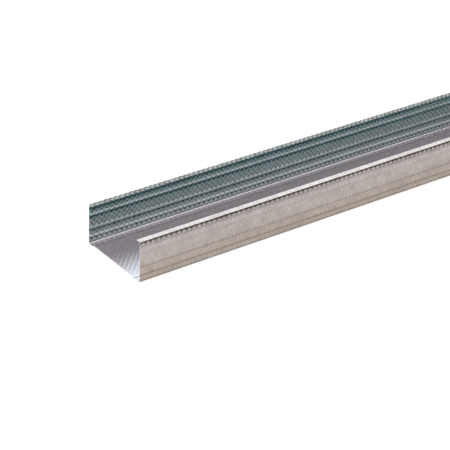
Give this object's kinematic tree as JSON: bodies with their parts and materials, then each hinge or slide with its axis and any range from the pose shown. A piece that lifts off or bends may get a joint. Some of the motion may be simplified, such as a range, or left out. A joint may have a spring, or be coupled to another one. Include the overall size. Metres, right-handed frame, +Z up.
{
  "type": "drywall metal stud",
  "caption": "Lipped C-channel of embossed galvanised sheet steel with long beads in both flanges, lying on its web.",
  "frame": {"origin": "middle of the underside, halfway along the stud, in the plane that its two web edge strips lie on", "axes": "+X along the stud, +Y across the web, +Z up from the web towards the lips"},
  "size_m": [2.6, 0.1, 0.05],
  "materials": {
    "galvanised_sheet": "hot-dip galvanised sheet, embossed all over with a fine diamond relief, satin"
  },
  "bodies": {
    "root": {"stud": "galvanised_sheet"}
  },
  "joints": []
}
